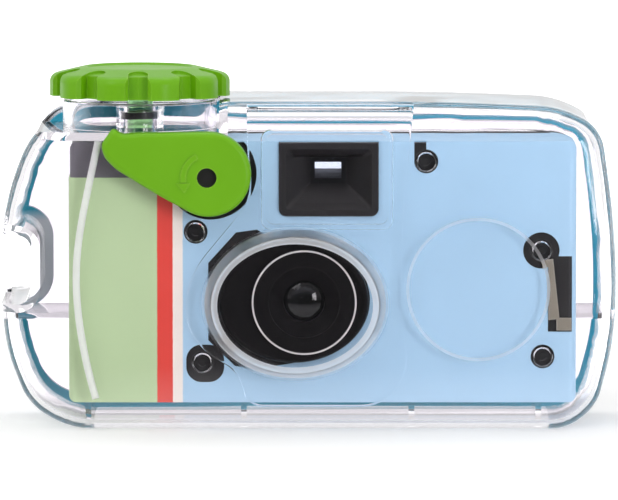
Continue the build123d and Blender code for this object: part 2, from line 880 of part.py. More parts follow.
def crank_pocket(grow):
    """Pocket for the crank and the channel of the slider under it, grown by the wall round them."""
    back_y = camera_front_y + pocket_depth + grow
    pocket = slab(pocket_face(grow), back_y, camera_front_y - overrun)
    half = slider_width / 2 + part_gap + grow
    return pocket + block(slider_x() - half, slider_x() + half, camera_front_y - overrun, back_y,
                          spring_low_z() - grow, lever_z)


def pin_slot():
    """Slot in the pocket's back wall for the slider's pin."""
    half = slider_pin_radius + part_gap
    high_z = slider_pin_z() + half
    return block(slider_x() - half, slider_x() + half, camera_front_y, trigger_back_y(),
                 slider_pin_z() - half - slider_travel(), high_z)


def front_cover():
    cover = cover_block(0) - cover_block(cover_wall)
    cover &= block(camera_left_x - overrun, camera_right_x + overrun, camera_front_y - overrun,
                   cover_split_y, camera_low_z - overrun, camera_high_z + overrun)
    pocket_wall = crank_pocket(cover_wall) & cover_block(0)
    cover += pocket_wall & block(camera_left_x, camera_right_x, camera_front_y,
                                 camera_front_y + pocket_depth + cover_wall, camera_low_z, camera_high_z)
    cover -= crank_pocket(0) + pin_slot()
    for x, z in post_places:
        back_y = camera_front_y + post_reach
        cover += rod_y(x, z, socket_radius + socket_wall, back_y, camera_front_y)
        cover -= rod_y(x, z, socket_radius, back_y - socket_wall, camera_front_y - overrun)
    cover -= rod_y(lens_x, lens_z, lens_seat_radius + seat_gap, camera_front_y + 2 * cover_wall,
                   camera_front_y - overrun)
    cover -= block(finder_left_x - seat_gap, finder_right_x + seat_gap, camera_front_y - overrun,
                   finder_front_y + finder_block_depth + seat_gap, finder_low_z - seat_gap,
                   camera_high_z + overrun)
    cover -= wheel_opening()
    return cover


def eyepiece_face(room):
    """Rectangle of the eyepiece, grown by room."""
    return Pos(finder_window_x, finder_window_z) * Rectangle(eyepiece_width + 2 * room,
                                                            eyepiece_height + 2 * room)


def rear_cover():
    cover = cover_block(0) - cover_block(cover_wall)
    cover &= block(camera_left_x - overrun, camera_right_x + overrun, cover_split_y,
                   camera_back_y + overrun, camera_low_z - overrun, camera_high_z + overrun)
    cover -= wheel_opening()
    cover -= slab(eyepiece_face(seat_gap), camera_back_y + overrun, camera_back_y - 2 * cover_wall)
    rib_front_y = film_plane_y + film_thickness + seat_gap
    for x in (lens_x - gate_width / 2, lens_x, lens_x + gate_width / 2):
        cover += block(x - cover_wall / 2, x + cover_wall / 2, rib_front_y, camera_back_y - cover_wall / 2,
                       film_low_z, film_low_z + film_height)
    return cover


def catch_slot_face(inset):
    """Round hole and slot in the wrap at its right end, drawn in by inset."""
    face = Pos(catch_x, catch_z) * Circle(catch_radius - inset)
    right_x = camera_right_x - cover_wall / 2
    centre = Pos((catch_slot_left_x + right_x) / 2, (catch_slot_low_z + catch_slot_high_z) / 2)
    return face + centre * Rectangle(right_x - catch_slot_left_x - 2 * inset,
                                     catch_slot_high_z - catch_slot_low_z - 2 * inset)


def finder_cut_face():
    """Cut-out of the wrap for the viewfinder, open at the top."""
    low_x = finder_left_x - seat_gap
    high_x = finder_right_x + seat_gap
    face = panel(low_x, high_x, finder_low_z - seat_gap, camera_high_z, finder_corner_radius)
    mouth = Rectangle(high_x - low_x, 4 * finder_corner_radius)
    return face + Pos((low_x + high_x) / 2, camera_high_z) * mouth


def label_cut_face():
    """All that is cut out of the front of the wrap."""
    cut = surround_face(-part_gap) + make_face(Polyline(*label_lens_points, close=True))
    cut += finder_cut_face() + catch_slot_face(0)
    cut += Pos(lever_x + pocket_shift, lever_z + pocket_shift / 2) * Circle(pocket_radius)
    cut += panel(label_socket_low_x, label_socket_high_x, label_socket_low_z, label_socket_high_z,
                 label_socket_radius)
    for place in post_places:
        cut += Pos(*place) * Circle(label_hole_radius)
    top_x, top_z = post_places[2]
    notch = Rectangle(label_hole_radius, label_notch_height)
    return cut + Pos(top_x - label_hole_radius / 2, top_z + label_notch_height / 2) * notch


def wrap_label():
    wrap = cover_block(-label_thickness) - cover_block(0)
    wrap &= block(-case_width, case_width, -case_depth, camera_front_y + label_side_depth, 0, case_height)
    wrap -= slab(label_cut_face(), camera_front_y + cover_corner_radius, camera_front_y - overrun)
    wrap -= block(-case_width, label_dark_right_x, -case_depth, case_depth, label_dark_low_z, case_height)
    return wrap - wheel_opening()


def side_catch():
    path = Line((catch_x + catch_radius / 3, catch_z - catch_radius / 2),
                (catch_slot_left_x + catch_arm_width / 2, catch_slot_low_z + catch_foot_height))
    face = trace(path, line_width=catch_arm_width)
    foot = Rectangle(catch_foot_width, catch_foot_height)
    foot_z = catch_slot_low_z + catch_foot_height / 2 + part_gap
    face += Pos(catch_slot_left_x + catch_foot_width, foot_z) * foot
    return slab(face & catch_slot_face(seat_gap), camera_front_y, camera_front_y - catch_thickness)


def surround_face(inset):
    """Oval of the lens surround."""
    return Pos(surround_x, lens_z) * Ellipse(surround_half_width - inset, surround_half_height - inset)


def lens_surround():
    body = slab(surround_face(0), camera_front_y, surround_front_y)
    front = body.faces().sort_by(Axis.Y)[0]
    body = fillet(front.edges(), surround_edge_radius)
    body -= rod_y(lens_x, lens_z, ring_radius, camera_front_y + overrun, surround_front_y - overrun)
    return body


def ring_section():
    """Half section of the lens ring: radius, and depth along the lens's axis."""
    radii = [(ring_bore_radius, ring_throat_y), (ring_step_radius, ring_front_y + ring_step_depth),
             (ring_step_radius, ring_front_y + ring_rim_rise),
             (ring_radius - ring_rim_width, ring_front_y + ring_rim_rise),
             (ring_radius - ring_rim_width, ring_front_y), (ring_radius, ring_front_y),
             (ring_radius, camera_front_y), (lens_seat_radius, camera_front_y),
             (lens_seat_radius, ring_throat_y + lens_edge), (ring_bore_radius, ring_throat_y + lens_edge)]
    return make_face(Polyline(*[(radius, y, 0) for radius, y in radii], close=True))


def lens_ring():
    ring = revolve(ring_section(), Axis.Y)
    return Pos(lens_x, 0, lens_z) * ring


def taking_lens():
    sag_radius = (lens_radius ** 2 + lens_crown ** 2) / (2 * lens_crown)
    front_y = ring_throat_y
    back_y = front_y + lens_edge
    body = rod_y(0, 0, lens_radius, back_y, front_y - lens_crown)
    ball = Pos(0, front_y - lens_crown + sag_radius, 0) * Sphere(sag_radius)
    tail = rod_y(0, 0, lens_radius, back_y, front_y)
    return Pos(lens_x, 0, lens_z) * ((body & ball) + tail)


def lens_seat():
    back_y = ring_throat_y + lens_edge + lens_seat_length
    seat = rod_y(lens_x, lens_z, lens_seat_radius, back_y, ring_throat_y + lens_edge)
    seat -= rod_y(lens_x, lens_z, lens_seat_bore_radius, back_y + overrun, ring_throat_y)
    return seat


def finder_throat_y():
    """Depth of the viewfinder's funnel, where its front lens seats."""
    return finder_front_y + finder_block_depth - finder_lens_thickness - finder_tube_wall


def finder_tube_face(wall):
    """Section of the viewfinder's tube."""
    return Pos(finder_window_x, finder_window_z) * Rectangle(finder_window_width + 2 * wall,
                                                            finder_window_height + 2 * wall)


def finder_frame_face(inset):
    """Opening of the viewfinder's frame, drawn in by inset."""
    return panel(finder_left_x + inset, finder_right_x - inset, finder_low_z + inset, camera_high_z - inset,
                 finder_corner_radius / 2)


def viewfinder_bezel():
    high_z = camera_high_z
    outline = panel(finder_left_x, finder_right_x, finder_low_z, high_z, finder_corner_radius)
    outline += panel(finder_left_x, finder_right_x, high_z - 2 * finder_corner_radius, high_z, seat_gap)
    back_y = finder_front_y + finder_block_depth
    body = slab(outline, back_y, finder_front_y)
    mouth = finder_frame_face(finder_frame_inset / 2)
    waist = finder_frame_face(finder_frame_inset)
    throat = Pos(finder_window_x, finder_window_z) * RectangleRounded(
        finder_window_width + 2 * finder_tube_wall, finder_window_height + 2 * finder_tube_wall, seat_gap)
    step_y = finder_front_y + finder_frame_inset / 2
    throat_y = finder_throat_y()
    body -= loft([at_y(step_y) * waist, at_y(finder_front_y) * mouth])
    body -= loft([at_y(throat_y) * throat, at_y(step_y) * waist])
    tube_back_y = camera_back_y - cover_wall - finder_lens_thickness - seat_gap
    body += slab(finder_tube_face(finder_tube_wall), tube_back_y, back_y)
    body -= slab(finder_tube_face(0), tube_back_y + overrun, finder_front_y - overrun)
    return body


def viewfinder_front_lens():
    back_y = finder_throat_y()
    return slab(finder_tube_face(finder_tube_wall - seat_gap), back_y, back_y - finder_lens_thickness)


def viewfinder_rear_lens():
    back_y = camera_back_y
    return slab(eyepiece_face(0), back_y, back_y - cover_wall - finder_lens_thickness)


def chassis_block(low_x, high_x, low_y, high_y, low_z, high_z):
    """Part of the chassis, kept inside the covers."""
    return block(low_x, high_x, low_y, high_y, low_z, high_z) & cover_block(cover_wall + seat_gap)


def camera_chassis():
    low_y = camera_front_y + cover_wall + chassis_side_room
    high_y = film_plane_y + film_thickness
    chassis = chassis_block(camera_left_x, camera_right_x, low_y, high_y, plate_low_z,
                            plate_low_z + plate_thickness)
    gate_low_z = plate_low_z + plate_thickness / 2
    chassis += block(gate_left_x, gate_right_x, film_plane_y - gate_thickness, film_plane_y, gate_low_z,
                     top_plate_z)
    board_y = tunnel_front_y
    chassis += block(lens_x - lens_board_half_width, lens_x + lens_board_half_width,
                     board_y - lens_board_thickness, board_y, lens_z - lens_board_half_height,
                     lens_z + lens_board_half_height)
    gate_z = film_low_z + film_height / 2
    window = Pos(lens_x, gate_z) * Rectangle(gate_width, gate_height)
    throat = Pos(lens_x, lens_z) * Rectangle(tunnel_front_size, tunnel_front_size)
    wide = Pos(lens_x, gate_z) * Rectangle(gate_width + 2 * tunnel_wall, gate_height + 2 * tunnel_wall)
    narrow = Pos(lens_x, lens_z) * Rectangle(tunnel_front_size + 2 * tunnel_wall,
                                            tunnel_front_size + 2 * tunnel_wall)
    rear_y = film_plane_y - gate_thickness
    chassis += loft([at_y(rear_y) * wide, at_y(board_y) * narrow])
    chassis -= loft([at_y(rear_y) * window, at_y(board_y) * throat])
    chassis -= slab(window, film_plane_y + overrun, rear_y)
    chassis -= rod_y(lens_x, lens_z, lens_seat_bore_radius, board_y + overrun,
                     board_y - 2 * lens_board_thickness)
    chassis += board_pins()
    room = part_gap
    sprocket_reach = sprocket_root_radius + sprocket_tooth_height + room
    chassis -= rod_z(sprocket_x, sprocket_y(), sprocket_reach, sprocket_z - room,
                     sprocket_z + sprocket_height + room)
    chassis -= slab(finder_tube_face(finder_tube_wall + room), film_plane_y + overrun, rear_y - overrun)
    right_low_x = finder_window_x + finder_window_width / 2 + finder_tube_wall + finder_lens_margin
    chassis += chassis_block(right_low_x, camera_right_x, finder_front_y + finder_block_depth + part_gap,
                             high_y, top_plate_z, top_plate_z + plate_thickness)
    chassis -= rod_z(knob_x, knob_y, spool_end_radius + running_gap, plate_low_z - overrun, cartridge_low_z)
    chassis -= rod_z(supply_x, knob_y, supply_end_radius + running_gap, plate_low_z - overrun,
                     top_plate_z + 2 * plate_thickness)
    return chassis


def top_plate():
    high_x = finder_window_x - finder_window_width / 2 - finder_tube_wall - part_gap
    plate = chassis_block(camera_left_x, high_x, camera_front_y + pocket_depth + 2 * cover_wall,
                          film_plane_y + film_thickness, top_plate_z, top_plate_z + plate_thickness)
    plate -= block(finder_left_x - part_gap, high_x + overrun, -case_depth,
                   finder_front_y + finder_block_depth + part_gap, 0, case_height)
    bottom_z = top_plate_z - overrun
    plate -= rod_z(knob_x, knob_y, spool_end_radius + running_gap, bottom_z, case_height)
    plate -= rod_z(sprocket_x, sprocket_y(), sprocket_shaft_radius + running_gap, bottom_z, case_height)
    pin_high_z = wheel_low_z() + pawl_thickness
    plate += rod_z(pawl_x, pawl_y, pawl_pin_radius, top_plate_z + plate_thickness / 2, pin_high_z)
    plate += rod_z(sprocket_x, counter_y, counter_pin_radius, top_plate_z + plate_thickness / 2,
                   wheel_low_z() + counter_height)
    return plate


def film_cartridge():
    high_z = cartridge_low_z + cartridge_height
    shell = rod_z(knob_x, knob_y, cartridge_radius, cartridge_low_z, high_z)
    for cap_z in (cartridge_low_z, high_z - cartridge_cap_height):
        shell += rod_z(knob_x, knob_y, cartridge_cap_radius, cap_z, cap_z + cartridge_cap_height)
    lip_low_y = knob_y + cartridge_radius - 2 * cover_wall
    shell += block(knob_x, knob_x + cartridge_radius, lip_low_y, film_plane_y - seat_gap,
                   cartridge_low_z + cartridge_cap_height, high_z - cartridge_cap_height)
    shell -= rod_z(knob_x, knob_y, spool_hub_radius + part_gap, cartridge_low_z - overrun, high_z + overrun)
    return shell


def cartridge_spool():
    high_z = cartridge_low_z + cartridge_height
    spool = rod_z(knob_x, knob_y, spool_hub_radius, cartridge_low_z, high_z)
    spool += rod_z(knob_x, knob_y, spool_end_radius, plate_low_z, wheel_low_z())
    return spool


def wheel_blank(radius, height, low_z, marks, width):
    """Disc about its own axis, with a notch at each mark of its rim."""
    disc = rod_z(0, 0, radius, low_z, low_z + height)
    for index in range(marks):
        notch = Pos(radius, 0, low_z + height / 2) * Rot(0, 0, 45) * Box(width, width, height + overrun)
        disc -= Rot(0, 0, index * 360 / marks) * notch
    return disc


def wind_wheel():
    low_z = wheel_low_z()
    wheel = wheel_blank(wheel_radius, wheel_height, low_z, wheel_teeth, wheel_notch_width)
    half_length = dog_length / 2 + dog_room
    half_width = dog_width / 2 + dog_room
    high_z = low_z + wheel_height
    low_slot_z = high_z - dog_height
    wheel -= block(-half_length, half_length, -half_width, half_width, low_slot_z, high_z + overrun)
    return Pos(knob_x, knob_y, 0) * wheel


def sprocket_y():
    """Axis of the sprocket, so that its teeth just reach through the film's holes."""
    return film_plane_y - sprocket_root_radius - sprocket_tooth_height - part_gap


def sprocket_wheel():
    wheel = rod_z(0, 0, sprocket_root_radius, sprocket_z, sprocket_z + sprocket_height)
    reach = sprocket_root_radius + sprocket_tooth_height
    for index in range(sprocket_teeth):
        tooth = block(0, reach, -sprocket_tooth_width / 2, sprocket_tooth_width / 2,
                      sprocket_z + sprocket_height / 3, sprocket_z + 2 * sprocket_height / 3)
        wheel += Rot(0, 0, index * 360 / sprocket_teeth) * tooth
    cam_radius = sprocket_y() - counter_y - counter_radius - part_gap
    wheel += rod_z(0, 0, sprocket_shaft_radius, sprocket_z, wheel_low_z())
    wheel += rod_z(0, 0, cam_radius, wheel_low_z(), wheel_low_z() + counter_height)
    return Pos(sprocket_x, sprocket_y(), 0) * wheel


def counter_dial():
    low_z = wheel_low_z()
    dial = wheel_blank(counter_radius, counter_height, low_z, counter_marks, counter_notch_width)
    dial -= rod_z(0, 0, counter_pin_radius + running_gap, low_z - overrun, low_z + counter_height + overrun)
    return Pos(sprocket_x, counter_y, 0) * dial


def wind_pawl():
    low_z = wheel_low_z()
    wheel_direction = Vector(knob_x - pawl_x, knob_y - pawl_y).normalized()
    distance = (Vector(knob_x, knob_y) - Vector(pawl_x, pawl_y)).length
    reach = distance - wheel_radius - part_gap
    tip = Vector(pawl_x, pawl_y) + wheel_direction * reach
    arm = trace(Line((pawl_x, pawl_y), tip), line_width=pawl_width)
    face = arm + Pos(pawl_x, pawl_y) * Circle(pawl_hub_radius) - Pos(pawl_x, pawl_y) * Circle(
        pawl_pin_radius + running_gap)
    return Pos(0, 0, low_z) * extrude(face, amount=pawl_thickness)


def supply_spool():
    low_z = film_low_z - supply_flange_height - seat_gap
    high_z = film_low_z + film_height + seat_gap
    spool = rod_z(supply_x, knob_y, supply_core_radius, low_z, high_z + supply_flange_height)
    spool += rod_z(supply_x, knob_y, supply_flange_radius, low_z, low_z + supply_flange_height)
    spool += rod_z(supply_x, knob_y, supply_flange_radius, high_z, high_z + supply_flange_height)
    spool += rod_z(supply_x, knob_y, supply_end_radius, plate_low_z, top_plate_z + plate_thickness)
    return spool


def film_roll():
    roll = rod_z(supply_x, knob_y, roll_radius, film_low_z, film_low_z + film_height)
    roll -= rod_z(supply_x, knob_y, supply_core_radius, film_low_z - overrun,
                  film_low_z + film_height + overrun)
    return roll


def film_strip():
    low_x = knob_x + cartridge_radius / 2
    return block(low_x, supply_x, film_plane_y, film_plane_y + film_thickness, film_low_z,
                 film_low_z + film_height)


def shutter_back_y():
    """Back face of the shutter blade, just in front of the lens board."""
    return tunnel_front_y - lens_board_thickness - seat_gap


def shutter_blade():
    face = Pos(blade_pivot_x, blade_pivot_z) * Circle(blade_hub_radius)
    face += Pos(lens_x, lens_z) * Circle(blade_disc_radius)
    face += trace(Line((blade_pivot_x, blade_pivot_z), (lens_x, lens_z)), line_width=blade_hub_radius)
    face -= Pos(blade_pivot_x, blade_pivot_z) * Circle(blade_pin_radius + running_gap)
    return slab(face, shutter_back_y(), shutter_back_y() - blade_thickness)


def aperture_plate():
    front_y = lens_seat_back_y()
    plate = rod_y(lens_x, lens_z, stop_plate_radius, front_y + stop_thickness, front_y)
    plate -= rod_y(lens_x, lens_z, stop_radius, front_y + overrun, front_y - overrun)
    return plate


def lens_seat_back_y():
    """Back face of the ring that holds the lens."""
    return ring_throat_y + lens_edge + lens_seat_length


def board_pins():
    """Pins of the lens board that the shutter blade and the trigger lever turn on."""
    blade_end_y = shutter_back_y() - blade_thickness - seat_gap
    pins = rod_y(blade_pivot_x, blade_pivot_z, blade_pin_radius, tunnel_front_y, blade_end_y)
    trigger_end_y = trigger_back_y() - trigger_thickness
    return pins + rod_y(trigger_pivot_x, trigger_pivot_z, trigger_pin_radius, tunnel_front_y, trigger_end_y)


def trigger_back_y():
    """Back face of the trigger lever."""
    return camera_front_y + pocket_depth + cover_wall + part_gap + trigger_thickness


def trigger_end_z():
    """Middle of the trigger lever's free end, under the slider's pin."""
    return slider_pin_z() - slider_pin_radius - trigger_width / 2 - part_gap


def trigger_lever():
    arm = Line((slider_x(), trigger_end_z()), (trigger_pivot_x, trigger_pivot_z))
    face = trace(arm, line_width=trigger_width)
    face += Pos(trigger_pivot_x, trigger_pivot_z) * Circle(trigger_hub_radius)
    face -= Pos(trigger_pivot_x, trigger_pivot_z) * Circle(trigger_pin_radius + running_gap)
    return slab(face, trigger_back_y(), trigger_back_y() - trigger_thickness)


builders = [front_shell, rear_shell, case_gasket, wind_knob, knob_shaft, knob_clip, knob_shaft_seal,
            shutter_lever, lever_shaft, lever_shaft_seal, press_crank, release_slider, release_spring,
            front_cover, rear_cover, wrap_label, side_catch, lens_surround, lens_ring, taking_lens,
            lens_seat, aperture_plate, viewfinder_bezel, viewfinder_front_lens, viewfinder_rear_lens,
            camera_chassis, top_plate, film_cartridge, cartridge_spool, wind_wheel, sprocket_wheel,
            counter_dial, wind_pawl, supply_spool, film_roll, film_strip, shutter_blade, trigger_lever]


def whole_solid(shape):
    """Shape as one solid, or as a group of solids."""
    solids = shape.solids()
    return solids[0] if len(solids) == 1 else Compound(solids)


os.makedirs("parts", exist_ok=True)
for builder in builders:
    print(builder.__name__)
    export_step(whole_solid(builder()), "parts/" + builder.__name__ + ".step")
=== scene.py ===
import json
import math
import bpy
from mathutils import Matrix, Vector

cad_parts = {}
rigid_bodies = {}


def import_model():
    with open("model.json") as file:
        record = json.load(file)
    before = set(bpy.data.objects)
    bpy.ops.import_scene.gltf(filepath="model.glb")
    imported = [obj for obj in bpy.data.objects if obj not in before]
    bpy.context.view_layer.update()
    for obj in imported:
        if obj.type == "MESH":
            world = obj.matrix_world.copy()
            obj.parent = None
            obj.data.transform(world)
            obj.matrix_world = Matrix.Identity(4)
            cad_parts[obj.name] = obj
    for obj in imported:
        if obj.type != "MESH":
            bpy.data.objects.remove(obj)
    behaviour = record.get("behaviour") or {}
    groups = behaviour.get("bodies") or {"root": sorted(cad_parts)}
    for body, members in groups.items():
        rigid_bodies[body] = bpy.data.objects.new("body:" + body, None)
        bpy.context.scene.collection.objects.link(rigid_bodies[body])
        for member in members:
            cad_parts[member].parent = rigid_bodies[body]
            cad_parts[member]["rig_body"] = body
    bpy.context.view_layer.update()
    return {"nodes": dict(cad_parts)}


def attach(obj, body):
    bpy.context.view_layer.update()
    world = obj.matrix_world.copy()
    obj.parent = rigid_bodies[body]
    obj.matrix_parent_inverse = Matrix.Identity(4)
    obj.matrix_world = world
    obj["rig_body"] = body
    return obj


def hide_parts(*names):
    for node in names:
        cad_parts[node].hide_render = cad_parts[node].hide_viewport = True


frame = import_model()
scene = bpy.context.scene
nodes = frame["nodes"]
mm = 0.001


# Small helpers for shader nodes
def newMaterial(name):
    material = bpy.data.materials.new(name)
    material.use_nodes = True
    tree = material.node_tree
    tree.nodes.clear()
    output = tree.nodes.new("ShaderNodeOutputMaterial")
    shader = tree.nodes.new("ShaderNodeBsdfPrincipled")
    tree.links.new(shader.outputs["BSDF"], output.inputs["Surface"])
    return material, tree, shader, output


def setSocket(node, name, value):
    node.inputs[name].default_value = value


def mathNode(tree, operation, first, second=None):
    node = tree.nodes.new("ShaderNodeMath")
    node.operation = operation
    for index, value in enumerate((first, second)):
        if value is None:
            continue
        if isinstance(value, (int, float)):
            node.inputs[index].default_value = value
        else:
            tree.links.new(value, node.inputs[index])
    return node.outputs[0]


def product(tree, first, *others):
    for other in others:
        first = mathNode(tree, "MULTIPLY", first, other)
    return first


def inverse(tree, value):
    return mathNode(tree, "SUBTRACT", 1.0, value)


def flatDistance(tree, across, rise):
    squares = mathNode(tree, "ADD", product(tree, across, across), product(tree, rise, rise))
    return mathNode(tree, "SQRT", squares)


def mapRange(tree, value, fromLow, fromHigh, toLow=0.0, toHigh=1.0, kind="LINEAR"):
    node = tree.nodes.new("ShaderNodeMapRange")
    node.interpolation_type = kind
    tree.links.new(value, node.inputs["Value"])
    setSocket(node, "From Min", fromLow)
    setSocket(node, "From Max", fromHigh)
    setSocket(node, "To Min", toLow)
    setSocket(node, "To Max", toHigh)
    return node.outputs["Result"]


# Places of the Mix node's sockets when it mixes colours
mixInputs = (0, 6, 7)
mixOutput = 2


def mixColour(tree, factor, first, second):
    node = tree.nodes.new("ShaderNodeMix")
    node.data_type = "RGBA"
    for index, value in zip(mixInputs, (factor, first, second)):
        if isinstance(value, (float, tuple)):
            node.inputs[index].default_value = value
        else:
            tree.links.new(value, node.inputs[index])
    return node.outputs[mixOutput]


# The standard sRGB curve
srgbCurve = {"levels": 255, "knee": 0.04045, "slope": 12.92, "offset": 0.055, "power": 2.4}


def srgb(red, green, blue):
    def linear(value):
        value = value / srgbCurve["levels"]
        if value <= srgbCurve["knee"]:
            return value / srgbCurve["slope"]
        return ((value + srgbCurve["offset"]) / (1.0 + srgbCurve["offset"])) ** srgbCurve["power"]
    return (linear(red), linear(green), linear(blue), 1.0)


def objectCoordinates(tree):
    return tree.nodes.new("ShaderNodeTexCoord").outputs["Object"]


def splitAxes(tree, vector):
    split = tree.nodes.new("ShaderNodeSeparateXYZ")
    tree.links.new(vector, split.inputs[0])
    return split.outputs


def noise(tree, coordinates, scale, detail=3.0, roughness=0.5):
    node = tree.nodes.new("ShaderNodeTexNoise")
    tree.links.new(coordinates, node.inputs["Vector"])
    setSocket(node, "Scale", scale)
    setSocket(node, "Detail", detail)
    setSocket(node, "Roughness", roughness)
    return node.outputs["Fac"]


# Noise values lie round the middle, and mostly between the low and the high one
noiseLow = 0.3
noiseMiddle = 0.5
noiseHigh = 0.7


def remap(tree, value, low, high):
    return mapRange(tree, value, noiseLow, noiseHigh, low, high)


def makeGroup(name, inputs, outputs):
    group = bpy.data.node_groups.new(name, "ShaderNodeTree")
    for label, kind, value in inputs:
        socket = group.interface.new_socket(name=label, in_out="INPUT", socket_type=kind)
        socket.default_value = value
    for label, kind in outputs:
        group.interface.new_socket(name=label, in_out="OUTPUT", socket_type=kind)
    return group, group.nodes.new("NodeGroupInput"), group.nodes.new("NodeGroupOutput")


# Shared surface of moulded plastic: fine grain, slow colour drift, and paler worn edges
mouldedGrain = {"driftScale": 60.0, "driftDetail": 4.0, "bevelSamples": 4, "bevelRadius": 0.0006,
                "edgeGain": 4.0, "edgeScale": 700.0, "edgeDetail": 3.0, "grainDetail": 2.0,
                "smudgeScale": 240.0, "smudgeDetail": 5.0, "smudgeRoughness": 0.6, "bumpDistance": 0.0002}


def makeMouldedSurface(look):
    group, source, sink = makeGroup(
        "moulded surface",
        [("Colour", "NodeSocketColor", (0.5, 0.5, 0.5, 1.0)),
         ("Worn Colour", "NodeSocketColor", (0.8, 0.8, 0.8, 1.0)),
         ("Wear", "NodeSocketFloat", 0.3), ("Drift", "NodeSocketFloat", 0.1),
         ("Grain Scale", "NodeSocketFloat", 3000.0), ("Grain Height", "NodeSocketFloat", 0.05),
         ("Roughness Low", "NodeSocketFloat", 0.3), ("Roughness High", "NodeSocketFloat", 0.45)],
        [("Colour", "NodeSocketColor"), ("Roughness", "NodeSocketFloat"), ("Normal", "NodeSocketVector")])
    place = objectCoordinates(group)
    drift = noise(group, place, look["driftScale"], look["driftDetail"])
    driftAmount = product(group, mathNode(group, "SUBTRACT", drift, noiseMiddle), source.outputs["Drift"])
    hueShift = group.nodes.new("ShaderNodeHueSaturation")
    group.links.new(source.outputs["Colour"], hueShift.inputs["Color"])
    group.links.new(mathNode(group, "ADD", driftAmount, 1.0), hueShift.inputs["Value"])
    bevel = group.nodes.new("ShaderNodeBevel")
    bevel.samples = look["bevelSamples"]
    setSocket(bevel, "Radius", look["bevelRadius"])
    plain = group.nodes.new("ShaderNodeNewGeometry")
    facing = group.nodes.new("ShaderNodeVectorMath")
    facing.operation = "DOT_PRODUCT"
    group.links.new(bevel.outputs["Normal"], facing.inputs[0])
    group.links.new(plain.outputs["Normal"], facing.inputs[1])
    edge = product(group, inverse(group, facing.outputs["Value"]), look["edgeGain"],
                   noise(group, place, look["edgeScale"], look["edgeDetail"]), source.outputs["Wear"])
    edgeMask = group.nodes.new("ShaderNodeClamp")
    group.links.new(edge, edgeMask.inputs["Value"])
    colour = mixColour(group, edgeMask.outputs[0], hueShift.outputs["Color"], source.outputs["Worn Colour"])
    group.links.new(colour, sink.inputs["Colour"])
    grain = group.nodes.new("ShaderNodeTexNoise")
    group.links.new(place, grain.inputs["Vector"])
    group.links.new(source.outputs["Grain Scale"], grain.inputs["Scale"])
    setSocket(grain, "Detail", look["grainDetail"])
    smudge = noise(group, place, look["smudgeScale"], look["smudgeDetail"], look["smudgeRoughness"])
    spread = mathNode(group, "SUBTRACT", source.outputs["Roughness High"], source.outputs["Roughness Low"])
    rough = mathNode(group, "ADD", product(group, smudge, spread), source.outputs["Roughness Low"])
    group.links.new(rough, sink.inputs["Roughness"])
    bump = group.nodes.new("ShaderNodeBump")
    setSocket(bump, "Distance", look["bumpDistance"])
    group.links.new(source.outputs["Grain Height"], bump.inputs["Strength"])
    group.links.new(grain.outputs["Fac"], bump.inputs["Height"])
    group.links.new(bump.outputs["Normal"], sink.inputs["Normal"])
    return group


mouldedSurface = makeMouldedSurface(mouldedGrain)


def mouldedMaterial(name, look):
    material, tree, shader, _ = newMaterial(name)
    group = tree.nodes.new("ShaderNodeGroup")
    group.node_tree = mouldedSurface
    for label, value in look["surface"].items():
        setSocket(group, label, value)
    tree.links.new(group.outputs["Colour"], shader.inputs["Base Color"])
    tree.links.new(group.outputs["Roughness"], shader.inputs["Roughness"])
    tree.links.new(group.outputs["Normal"], shader.inputs["Normal"])
    for label, value in look["shader"].items():
        setSocket(shader, label, value)
    return material


# Where the clear case is made rough: the side wall of the lens port
def frostMask(tree, place, look):
    axes = splitAxes(tree, place)
    across = product(tree, mathNode(tree, "SUBTRACT", axes["X"], look["centreX"] * mm),
                     1.0 / (look["halfWidth"] * mm))
    rise = product(tree, mathNode(tree, "SUBTRACT", axes["Z"], look["centreZ"] * mm),
                   1.0 / (look["halfHeight"] * mm))
    reach = flatDistance(tree, across, rise)
    wall = product(tree, mathNode(tree, "GREATER_THAN", reach, look["innerShare"]),
                   mathNode(tree, "LESS_THAN", reach, look["outerShare"]))
    raised = mathNode(tree, "LESS_THAN", axes["Y"], look["raisedY"] * mm)
    return product(tree, wall, raised)


# Clear plastic: refracts for the eye, and lets lamps through
clearGrain = {"smudgeDetail": 4.0, "smudgeRoughness": 0.6, "waveDetail": 1.0}


def clearMaterial(name, look):
    material, tree, shader, output = newMaterial(name)
    setSocket(shader, "Base Color", look["tint"])
    setSocket(shader, "Transmission Weight", 1.0)
    setSocket(shader, "IOR", look["ior"])
    place = objectCoordinates(tree)
    smudge = noise(tree, place, look["smudgeScale"], clearGrain["smudgeDetail"],
                   clearGrain["smudgeRoughness"])
    roughness = remap(tree, smudge, look["roughLow"], look["roughHigh"])
    if "frost" in look:
        frosted = product(tree, frostMask(tree, place, look["frost"]), look["frost"]["roughness"])
        roughness = mathNode(tree, "MAXIMUM", roughness, frosted)
    tree.links.new(roughness, shader.inputs["Roughness"])
    bump = tree.nodes.new("ShaderNodeBump")
    setSocket(bump, "Strength", look["waveStrength"])
    setSocket(bump, "Distance", look["waveHeight"])
    tree.links.new(noise(tree, place, look["waveScale"], clearGrain["waveDetail"]), bump.inputs["Height"])
    tree.links.new(bump.outputs["Normal"], shader.inputs["Normal"])
    clear = tree.nodes.new("ShaderNodeBsdfTransparent")
    setSocket(clear, "Color", look["shadowTint"])
    path = tree.nodes.new("ShaderNodeLightPath")
    mix = tree.nodes.new("ShaderNodeMixShader")
    tree.links.new(path.outputs["Is Shadow Ray"], mix.inputs[0])
    tree.links.new(shader.outputs["BSDF"], mix.inputs[1])
    tree.links.new(clear.outputs["BSDF"], mix.inputs[2])
    tree.links.new(mix.outputs[0], output.inputs["Surface"])
    return material


